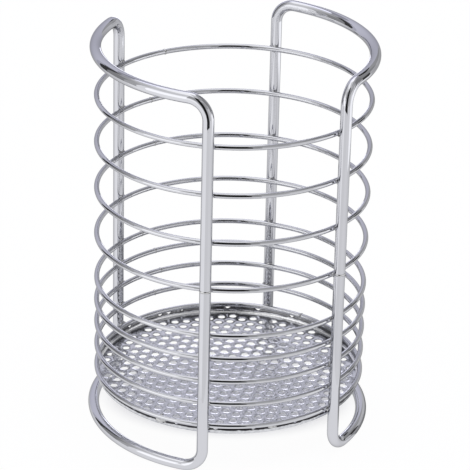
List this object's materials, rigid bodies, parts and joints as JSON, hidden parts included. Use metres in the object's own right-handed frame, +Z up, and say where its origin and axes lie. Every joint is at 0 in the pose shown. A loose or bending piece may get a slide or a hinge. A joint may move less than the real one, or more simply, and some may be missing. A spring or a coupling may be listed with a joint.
{
  "type": "utensil holder",
  "caption": "Round free-standing kitchen utensil holder of chromed wire rings welded inside two rod frames that form feet and grips, with a perforated tray as its floor.",
  "frame": {"origin": "on the axis of the rings, on the surface that the two foot arcs stand on", "axes": "+Z up along the axis of the rings, -Y towards the front, the narrower opening between the two frames, +X to the right seen from the front; the YZ plane is the mirror plane"},
  "size_m": [0.1274, 0.1222, 0.1777],
  "materials": {
    "ring_wire": "bright chromium plate on drawn wire",
    "frame_rod": "bright chromium plate on drawn rod",
    "tray_sheet": "chromium plate on perforated sheet, slightly satin",
    "weld_flash": "chromium plate on uneven weld flash"
  },
  "bodies": {
    "root": {"ring_1": "ring_wire", "ring_2": "ring_wire", "ring_3": "ring_wire", "ring_4": "ring_wire", "ring_5": "ring_wire", "ring_6": "ring_wire", "ring_7": "ring_wire", "ring_8": "ring_wire", "ring_9": "ring_wire", "left_frame": "frame_rod", "right_frame": "frame_rod", "tray": "tray_sheet", "front_left_post_welds": "weld_flash", "front_right_post_welds": "weld_flash", "rear_left_post_welds": "weld_flash", "rear_right_post_welds": "weld_flash", "tray_spot_welds": "weld_flash", "ring_joint_collars": "weld_flash", "left_frame_joint_collar": "weld_flash", "right_frame_joint_collar": "weld_flash"}
  },
  "joints": []
}
